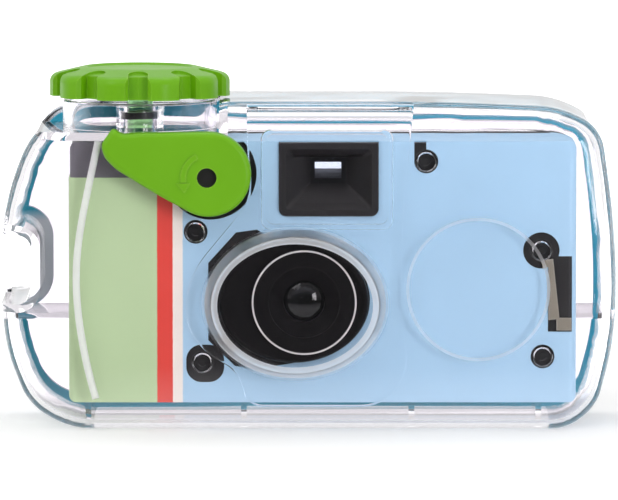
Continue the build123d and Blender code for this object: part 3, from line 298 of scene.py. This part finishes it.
caseLook = {
    "tint": (0.955, 0.94, 0.96, 1.0), "ior": 1.46, "smudgeScale": 90.0, "roughLow": 0.0, "roughHigh": 0.02,
    "waveStrength": 0.04, "waveHeight": 0.001, "waveScale": 45.0, "shadowTint": (0.9, 0.92, 0.94, 1.0),
    "frost": {"centreX": -2.8, "centreZ": 26.8, "halfWidth": 19.1, "halfHeight": 15.8, "innerShare": 0.9,
              "outerShare": 1.02, "raisedY": -19.6, "roughness": 0.4},
}
lensLook = {
    "tint": (0.86, 0.9, 0.98, 1.0), "ior": 1.52, "smudgeScale": 300.0, "roughLow": 0.0, "roughHigh": 0.03,
    "waveStrength": 0.02, "waveHeight": 0.00002, "waveScale": 200.0, "shadowTint": (0.9, 0.92, 0.94, 1.0),
}
shaftLook = {
    "tint": srgb(150, 205, 140), "ior": 1.46, "smudgeScale": 300.0, "roughLow": 0.05, "roughHigh": 0.15,
    "waveStrength": 0.04, "waveHeight": 0.0005, "waveScale": 200.0, "shadowTint": (0.7, 0.8, 0.7, 1.0),
}

# Milky white plastic as a painted highlight, standing in for the bright reflections of the clear case: the
# grip rib, and fainter on the port's front rim and the moulded circle
frostedLook = {"colour": (0.93, 0.92, 0.94, 1.0), "transmission": 0.3, "ior": 1.46,
               "cloudScale": 160.0, "cloudDetail": 4.0, "cloudLow": 0.95, "cloudHigh": 1.03,
               "grainScale": 900.0, "roughLow": 0.4, "roughHigh": 0.55}
rimHighlightLook = dict(frostedLook, transmission=0.62)
circleHighlightLook = dict(frostedLook, transmission=0.86)


# Milky white plastic that serves only as painted highlights on the clear case
def frostedMaterial(name, look):
    material, tree, shader, _ = newMaterial(name)
    place = objectCoordinates(tree)
    shade = remap(tree, noise(tree, place, look["cloudScale"], look["cloudDetail"]),
                  look["cloudLow"], look["cloudHigh"])
    cloud = tree.nodes.new("ShaderNodeHueSaturation")
    setSocket(cloud, "Color", look["colour"])
    tree.links.new(shade, cloud.inputs["Value"])
    tree.links.new(cloud.outputs["Color"], shader.inputs["Base Color"])
    setSocket(shader, "Transmission Weight", look["transmission"])
    setSocket(shader, "IOR", look["ior"])
    grain = noise(tree, place, look["grainScale"])
    tree.links.new(remap(tree, grain, look["roughLow"], look["roughHigh"]), shader.inputs["Roughness"])
    return material


greenLook = {
    "surface": {"Colour": srgb(110, 176, 6), "Worn Colour": srgb(164, 210, 78),
                "Wear": 0.5, "Drift": 0.12, "Grain Scale": 2600.0, "Grain Height": 0.08,
                "Roughness Low": 0.3, "Roughness High": 0.5},
    "shader": {"IOR": 1.5, "Specular IOR Level": 0.3},
}
blackLook = {
    "surface": {"Colour": srgb(30, 27, 29), "Worn Colour": srgb(96, 92, 94),
                "Wear": 0.35, "Drift": 0.25, "Grain Scale": 3600.0, "Grain Height": 0.06,
                "Roughness Low": 0.35, "Roughness High": 0.55},
    "shader": {"IOR": 1.5},
}
lensBlackLook = {
    "surface": {"Colour": srgb(19, 17, 19), "Worn Colour": srgb(62, 60, 62),
                "Wear": 0.3, "Drift": 0.4, "Grain Scale": 3600.0, "Grain Height": 0.03,
                "Roughness Low": 0.3, "Roughness High": 0.45},
    "shader": {"IOR": 1.5, "Specular IOR Level": 0.12},
}
tealLook = {
    "surface": {"Colour": srgb(42, 176, 206), "Worn Colour": srgb(110, 205, 225),
                "Wear": 0.2, "Drift": 0.2, "Grain Scale": 2000.0, "Grain Height": 0.05,
                "Roughness Low": 0.3, "Roughness High": 0.45},
    "shader": {"IOR": 1.45},
}
greyLook = {
    "surface": {"Colour": srgb(142, 134, 120), "Worn Colour": srgb(205, 200, 190),
                "Wear": 0.5, "Drift": 0.3, "Grain Scale": 2600.0, "Grain Height": 0.1,
                "Roughness Low": 0.25, "Roughness High": 0.45},
    "shader": {"IOR": 1.5},
}
whiteLook = {
    "surface": {"Colour": srgb(222, 222, 214), "Worn Colour": srgb(240, 240, 236),
                "Wear": 0.2, "Drift": 0.1, "Grain Scale": 2600.0, "Grain Height": 0.1,
                "Roughness Low": 0.35, "Roughness High": 0.5},
    "shader": {"IOR": 1.5},
}
steelLook = {
    "surface": {"Colour": srgb(176, 178, 182), "Worn Colour": srgb(225, 226, 230),
                "Wear": 0.3, "Drift": 0.2, "Grain Scale": 5000.0, "Grain Height": 0.1,
                "Roughness Low": 0.2, "Roughness High": 0.35},
    "shader": {"Metallic": 1.0},
}
filmLook = {
    "surface": {"Colour": srgb(78, 56, 46), "Worn Colour": srgb(120, 92, 78),
                "Wear": 0.2, "Drift": 0.3, "Grain Scale": 3000.0, "Grain Height": 0.03,
                "Roughness Low": 0.12, "Roughness High": 0.25},
    "shader": {"IOR": 1.5},
}
paintLook = {
    "surface": {"Colour": srgb(62, 62, 66), "Worn Colour": srgb(150, 150, 152),
                "Wear": 0.5, "Drift": 0.3, "Grain Scale": 3000.0, "Grain Height": 0.04,
                "Roughness Low": 0.25, "Roughness High": 0.4},
    "shader": {"IOR": 1.5},
}

# Half the width of the blur at a printed edge, in millimetres
printSoftness = 0.05


def bandMask(tree, along, edge, softness=printSoftness):
    return mapRange(tree, along, (edge - softness) * mm, (edge + softness) * mm)


# Printed wrap: bands of colour along X, with the grain of coated card
labelLook = {
    "greenEnd": -31.55, "redEnd": -28.3, "creamEnd": -26.2,
    "green": srgb(193, 217, 168), "red": srgb(235, 66, 54), "cream": srgb(250, 240, 231),
    "blue": srgb(171, 209, 236), "blueLow": srgb(177, 213, 239), "lowZ": 6.0, "highZ": 60.0,
    "edgeWaver": 0.12, "waverScale": 900.0, "waverDetail": 2.0,
    "cloudScale": 35.0, "cloudDetail": 5.0, "cloudRoughness": 0.6, "cloudLow": 0.97, "cloudHigh": 1.03,
    "glossScale": 400.0, "glossDetail": 4.0, "roughLow": 0.32, "roughHigh": 0.5,
    "grainScale": 2500.0, "grainDetail": 4.0, "bumpStrength": 0.08, "bumpDistance": 0.0001,
}


def labelMaterial(look):
    material, tree, shader, _ = newMaterial("printed card")
    place = objectCoordinates(tree)
    axes = splitAxes(tree, place)
    waver = noise(tree, place, look["waverScale"], look["waverDetail"])
    sway = product(tree, mathNode(tree, "SUBTRACT", waver, noiseMiddle), look["edgeWaver"] * mm)
    along = mathNode(tree, "ADD", axes["X"], sway)
    height = mapRange(tree, axes["Z"], look["lowZ"] * mm, look["highZ"] * mm)
    blue = mixColour(tree, height, look["blueLow"], look["blue"])
    colour = mixColour(tree, bandMask(tree, along, look["greenEnd"]), look["green"], look["red"])
    colour = mixColour(tree, bandMask(tree, along, look["redEnd"]), colour, look["cream"])
    colour = mixColour(tree, bandMask(tree, along, look["creamEnd"]), colour, blue)
    drift = noise(tree, place, look["cloudScale"], look["cloudDetail"], look["cloudRoughness"])
    cloud = tree.nodes.new("ShaderNodeHueSaturation")
    tree.links.new(colour, cloud.inputs["Color"])
    tree.links.new(remap(tree, drift, look["cloudLow"], look["cloudHigh"]), cloud.inputs["Value"])
    tree.links.new(cloud.outputs["Color"], shader.inputs["Base Color"])
    gloss = noise(tree, place, look["glossScale"], look["glossDetail"])
    tree.links.new(remap(tree, gloss, look["roughLow"], look["roughHigh"]), shader.inputs["Roughness"])
    bump = tree.nodes.new("ShaderNodeBump")
    setSocket(bump, "Strength", look["bumpStrength"])
    setSocket(bump, "Distance", look["bumpDistance"])
    tree.links.new(noise(tree, place, look["grainScale"], look["grainDetail"]), bump.inputs["Height"])
    tree.links.new(bump.outputs["Normal"], shader.inputs["Normal"])
    return material


# Moulded plastic with a second colour where its mask says
def paintedMaterial(name, surfaceLook, makeMask, look):
    material = mouldedMaterial(name, surfaceLook)
    tree = material.node_tree
    shader = next(node for node in tree.nodes if node.type == "BSDF_PRINCIPLED")
    plain = shader.inputs["Base Color"].links[0].from_socket
    mask = makeMask(tree, splitAxes(tree, objectCoordinates(tree)), look)
    tree.links.new(mixColour(tree, mask, plain, look["colour"]), shader.inputs["Base Color"])
    return material


# Black front cover with a grey field at its upper left corner, beside the wrap
coverLook = {"fieldRight": -31.0, "fieldLow": 52.0, "colour": srgb(112, 108, 116)}


def fieldMask(tree, axes, look):
    left = inverse(tree, bandMask(tree, axes["X"], look["fieldRight"]))
    high = bandMask(tree, axes["Z"], look["fieldLow"])
    return product(tree, left, high)


# Teal seal rubber, with a near-white painted highlight where it runs round the strap slot, for the bright
# light seen there through the case
sealLook = {"slotRight": -49.5, "slotLow": 24.0, "slotHigh": 42.5, "softness": 1.2,
            "colour": srgb(232, 238, 246)}


# Mask of the painted highlight on the seal round the strap slot
def slotHighlightMask(tree, axes, look):
    left = inverse(tree, bandMask(tree, axes["X"], look["slotRight"], look["softness"]))
    above = bandMask(tree, axes["Z"], look["slotLow"], look["softness"])
    below = inverse(tree, bandMask(tree, axes["Z"], look["slotHigh"], look["softness"]))
    return product(tree, left, product(tree, above, below))


# Black lens ring with a silvery line printed on its rim
ringLook = {"centreX": -0.9, "centreZ": 27.2, "lineRadius": 10.55, "lineSoftness": 0.02, "frontY": -21.6,
            "colour": srgb(214, 210, 208)}


def lineMask(tree, axes, look):
    across = mathNode(tree, "SUBTRACT", axes["X"], look["centreX"] * mm)
    rise = mathNode(tree, "SUBTRACT", axes["Z"], look["centreZ"] * mm)
    outside = bandMask(tree, flatDistance(tree, across, rise), look["lineRadius"], look["lineSoftness"])
    return product(tree, outside, mathNode(tree, "LESS_THAN", axes["Y"], look["frontY"] * mm))


materials = {
    "case": clearMaterial("clear case plastic", caseLook),
    "lens": clearMaterial("lens plastic", lensLook),
    "shaft": clearMaterial("pale green plastic", shaftLook),
    "green": mouldedMaterial("green plastic", greenLook),
    "black": mouldedMaterial("black plastic", blackLook),
    "lens black": mouldedMaterial("lens surround plastic", lensBlackLook),
    "ring": paintedMaterial("lens ring plastic", lensBlackLook, lineMask, ringLook),
    "cover": paintedMaterial("front cover plastic", blackLook, fieldMask, coverLook),
    "teal": paintedMaterial("teal seal rubber with painted highlight", tealLook, slotHighlightMask, sealLook),
    # The next three materials are painted highlights: milky white on the rib, the port's front rim and the
    # moulded circle
    "frosted": frostedMaterial("frosted case plastic", frostedLook),
    "rim frost": frostedMaterial("frosted rim plastic", rimHighlightLook),
    "circle frost": frostedMaterial("frosted circle plastic", circleHighlightLook),
    "grey": mouldedMaterial("grey plastic", greyLook),
    "white": mouldedMaterial("white plastic", whiteLook),
    "steel": mouldedMaterial("thin steel", steelLook),
    "film": mouldedMaterial("film base", filmLook),
    "paint": mouldedMaterial("painted cartridge", paintLook),
    "label": labelMaterial(labelLook),
}
finishes = {
    "case": ["front_shell", "rear_shell"],
    "green": ["wind_knob", "shutter_lever"],
    "shaft": ["knob_shaft"],
    "teal": ["case_gasket"],
    "steel": ["knob_clip", "release_spring"],
    "black": ["knob_shaft_seal", "lever_shaft_seal", "lever_shaft", "press_crank", "rear_cover",
              "viewfinder_bezel", "camera_chassis", "top_plate", "release_slider", "trigger_lever"],
    "cover": ["front_cover"],
    "lens black": ["lens_surround", "lens_seat", "shutter_blade", "aperture_plate"],
    "ring": ["lens_ring"],
    "label": ["wrap_label"],
    "grey": ["side_catch", "wind_pawl"],
    "lens": ["taking_lens", "viewfinder_front_lens", "viewfinder_rear_lens"],
    "white": ["wind_wheel", "sprocket_wheel", "counter_dial", "supply_spool", "cartridge_spool"],
    "paint": ["film_cartridge"],
    "film": ["film_roll", "film_strip"],
}


def dress(thing, material):
    thing.data.materials.clear()
    thing.data.materials.append(material)


for finish, names in finishes.items():
    for nodeName in names:
        dress(nodes[nodeName], materials[finish])
print("materials are on the nodes")


def clearSelection():
    bpy.ops.object.select_all(action="DESELECT")


# A copy of a node's mesh with shared corners, so that its round faces shade smoothly
smoothLook = {"mergeDistance": 0.000002, "angle": 32, "weight": 100,
              "nodes": ["front_shell", "rear_shell", "wind_knob", "shutter_lever", "lens_surround",
                        "lens_ring", "taking_lens", "case_gasket"]}


def smoothCopy(nodeName, look):
    source = nodes[nodeName]
    thing = bpy.data.objects.new(nodeName + "_smooth", source.data.copy())
    scene.collection.objects.link(thing)
    clearSelection()
    thing.select_set(True)
    bpy.context.view_layer.objects.active = thing
    bpy.ops.object.mode_set(mode="EDIT")
    bpy.ops.mesh.select_all(action="SELECT")
    bpy.ops.mesh.remove_doubles(threshold=look["mergeDistance"])
    bpy.ops.object.mode_set(mode="OBJECT")
    if thing.data.has_custom_normals:
        bpy.ops.mesh.customdata_custom_splitnormals_clear()
    bpy.ops.object.shade_smooth_by_angle(angle=math.radians(look["angle"]))
    weighted = thing.modifiers.new("weighted", "WEIGHTED_NORMAL")
    weighted.keep_sharp = True
    weighted.weight = look["weight"]
    bpy.ops.object.modifier_apply(modifier=weighted.name)
    clearSelection()
    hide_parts(nodeName)
    return thing


# The faces of the front shell's raised lines take the milky white materials of the painted highlights
highlightZones = {"ribRight": -40.0, "ribFrontY": -19.6, "portFrontY": -24.5, "circleFrontY": -19.7,
              "circleX": 35.3, "circleZ": 29.7, "circleRadius": 14.65, "circleReach": 0.5}


def highlightFaces(thing, zones):
    slots = {}
    for finish in ("frosted", "rim frost", "circle frost"):
        slots[finish] = len(thing.data.materials)
        thing.data.materials.append(materials[finish])
    for face in thing.data.polygons:
        x, y, z = (value / mm for value in face.center)
        circleGap = math.hypot(x - zones["circleX"], z - zones["circleZ"]) - zones["circleRadius"]
        onCircle = y < zones["circleFrontY"] and abs(circleGap) < zones["circleReach"]
        if x < zones["ribRight"] and y < zones["ribFrontY"]:
            face.material_index = slots["frosted"]
        elif y < zones["portFrontY"]:
            face.material_index = slots["rim frost"]
        elif onCircle:
            face.material_index = slots["circle frost"]


for nodeName in smoothLook["nodes"]:
    copied = smoothCopy(nodeName, smoothLook)
    if nodeName == "front_shell":
        highlightFaces(copied, highlightZones)
    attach(copied, nodes[nodeName]["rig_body"])
print("smooth copies stand for the round nodes")


# Rays that come straight from the camera, and rays that were mirrored or bent on their way
def rayKinds(tree):
    path = tree.nodes.new("ShaderNodeLightPath")
    bent = mathNode(tree, "MAXIMUM", path.outputs["Is Glossy Ray"], path.outputs["Is Transmission Ray"])
    return path.outputs["Is Camera Ray"], bent, path.outputs["Diffuse Depth"]


# Diffuse Depth counts whole bounces, so a half parts no bounce from one
firstBounce = 0.5

# Pale floor. Straight to the camera it keeps its shadow. Bent rays see it bright behind the object,
# and dark in front of it unless they scattered on their way
floorLook = {"size": 8.0, "colour": (0.9, 0.9, 0.9, 1.0), "roughness": 0.9, "specular": 0.1,
             "glowNear": 0.25, "glowFar": 1.0, "nearRadius": 0.12, "farRadius": 0.6,
             "flagNear": 0.06, "flagFar": 0.14, "flag": (0.03, 0.03, 0.03, 1.0),
             "behindNear": 0.0, "behindFar": 0.03}


def makeFloor(look):
    bpy.ops.mesh.primitive_plane_add(size=look["size"], location=(0, 0, 0))
    floor = bpy.context.active_object
    floor.name = "floor"
    material, tree, shader, output = newMaterial("pale floor")
    setSocket(shader, "Roughness", look["roughness"])
    setSocket(shader, "Specular IOR Level", look["specular"])
    place = objectCoordinates(tree)
    axes = splitAxes(tree, place)
    seen, bent, depth = rayKinds(tree)
    mirrored = product(tree, inverse(tree, seen), bent)
    straight = mathNode(tree, "LESS_THAN", depth, firstBounce)
    ahead = mapRange(tree, axes["Y"], -look["flagFar"], -look["flagNear"], 1.0, 0.0)
    flagged = product(tree, mirrored, straight, ahead)
    tree.links.new(mixColour(tree, flagged, look["colour"], look["flag"]), shader.inputs["Base Color"])
    length = tree.nodes.new("ShaderNodeVectorMath")
    length.operation = "LENGTH"
    tree.links.new(place, length.inputs[0])
    fade = mapRange(tree, length.outputs["Value"], look["nearRadius"], look["farRadius"],
                    look["glowNear"], look["glowFar"])
    shown = mathNode(tree, "MAXIMUM", seen, mathNode(tree, "SUBTRACT", mirrored, flagged))
    backGlow = product(tree, mirrored, mapRange(tree, axes["Y"], look["behindNear"], look["behindFar"]))
    strength = mathNode(tree, "MAXIMUM", product(tree, shown, fade), backGlow)
    glow = tree.nodes.new("ShaderNodeEmission")
    tree.links.new(strength, glow.inputs["Strength"])
    add = tree.nodes.new("ShaderNodeAddShader")
    tree.links.new(shader.outputs["BSDF"], add.inputs[0])
    tree.links.new(glow.outputs["Emission"], add.inputs[1])
    tree.links.new(add.outputs[0], output.inputs["Surface"])
    dress(floor, material)


# White backdrop with an even light, dark in front for bent rays that never scattered
worldLook = {"light": 0.62, "front": 0.05, "frontEnd": -0.95, "backStart": -0.45,
             "colour": (1.0, 1.0, 1.0, 1.0)}


def makeWorld(look):
    world = bpy.data.worlds.new("studio")
    scene.world = world
    world.use_nodes = True
    tree = world.node_tree
    tree.nodes.clear()
    output = tree.nodes.new("ShaderNodeOutputWorld")
    background = tree.nodes.new("ShaderNodeBackground")
    axes = splitAxes(tree, tree.nodes.new("ShaderNodeTexCoord").outputs["Generated"])
    front = mapRange(tree, axes["Y"], look["frontEnd"], look["backStart"], look["front"], 1.0, "SMOOTHSTEP")
    seen, bent, depth = rayKinds(tree)
    scattered = mathNode(tree, "GREATER_THAN", depth, firstBounce)
    ahead = mathNode(tree, "MAXIMUM", front, scattered)
    shown = mathNode(tree, "MAXIMUM", seen, product(tree, bent, ahead))
    plain = product(tree, inverse(tree, mathNode(tree, "MAXIMUM", seen, bent)), look["light"])
    tree.links.new(mathNode(tree, "ADD", shown, plain), background.inputs["Strength"])
    setSocket(background, "Color", look["colour"])
    tree.links.new(background.outputs[0], output.inputs["Surface"])


# Soft lamps, all aimed at the middle of the object
lampAim = (0, 0, 0.03)
lampLooks = [
    {"name": "key lamp", "place": (-0.5, -0.7, 0.9), "size": (0.7, 0.7), "power": 3.0},
    {"name": "strip lamp", "place": (0.4, -0.7, 0.11), "size": (0.14, 0.34), "power": 1.6},
    {"name": "top lamp", "place": (0.0, 0.3, 1.0), "size": (0.8, 0.5), "power": 2.2},
]


def makeLamp(look):
    lamp = bpy.data.lights.new(look["name"], "AREA")
    lamp.shape = "RECTANGLE"
    lamp.size, lamp.size_y = look["size"]
    lamp.energy = look["power"]
    thing = bpy.data.objects.new(look["name"], lamp)
    scene.collection.objects.link(thing)
    thing.location = look["place"]
    thing.rotation_euler = (Vector(lampAim) - Vector(look["place"])).to_track_quat("-Z", "Y").to_euler()


cameraLook = {"elevation": 5.3, "distance": 1500.0, "target": (0.1, -19.0, 37.9), "pixelsPerMm": 4.808,
              "imageWidth": 618, "sensor": 36.0, "clipStart": 0.01}


def makeCamera(look):
    camera = bpy.data.cameras.new("camera")
    thing = bpy.data.objects.new("camera", camera)
    scene.collection.objects.link(thing)
    rise = math.radians(look["elevation"])
    target = Vector(look["target"]) * mm
    back = Vector((0, -math.cos(rise), math.sin(rise))) * look["distance"] * mm
    thing.location = target + back
    thing.rotation_euler = (-back).to_track_quat("-Z", "Y").to_euler()
    camera.sensor_width = look["sensor"]
    camera.lens = look["sensor"] * look["distance"] * look["pixelsPerMm"] / look["imageWidth"]
    camera.clip_start = look["clipStart"]
    scene.camera = thing


# Enough bounces for light to pass all the walls of the clear case
maxBounces = 32
glossyBounces = 16

makeFloor(floorLook)
makeWorld(worldLook)
scene.cycles.max_bounces = maxBounces
scene.cycles.transmission_bounces = maxBounces
scene.cycles.transparent_max_bounces = maxBounces
scene.cycles.glossy_bounces = glossyBounces
for lampLook in lampLooks:
    makeLamp(lampLook)
makeCamera(cameraLook)
scene.view_settings.view_transform = "Standard"
print("stage is set")
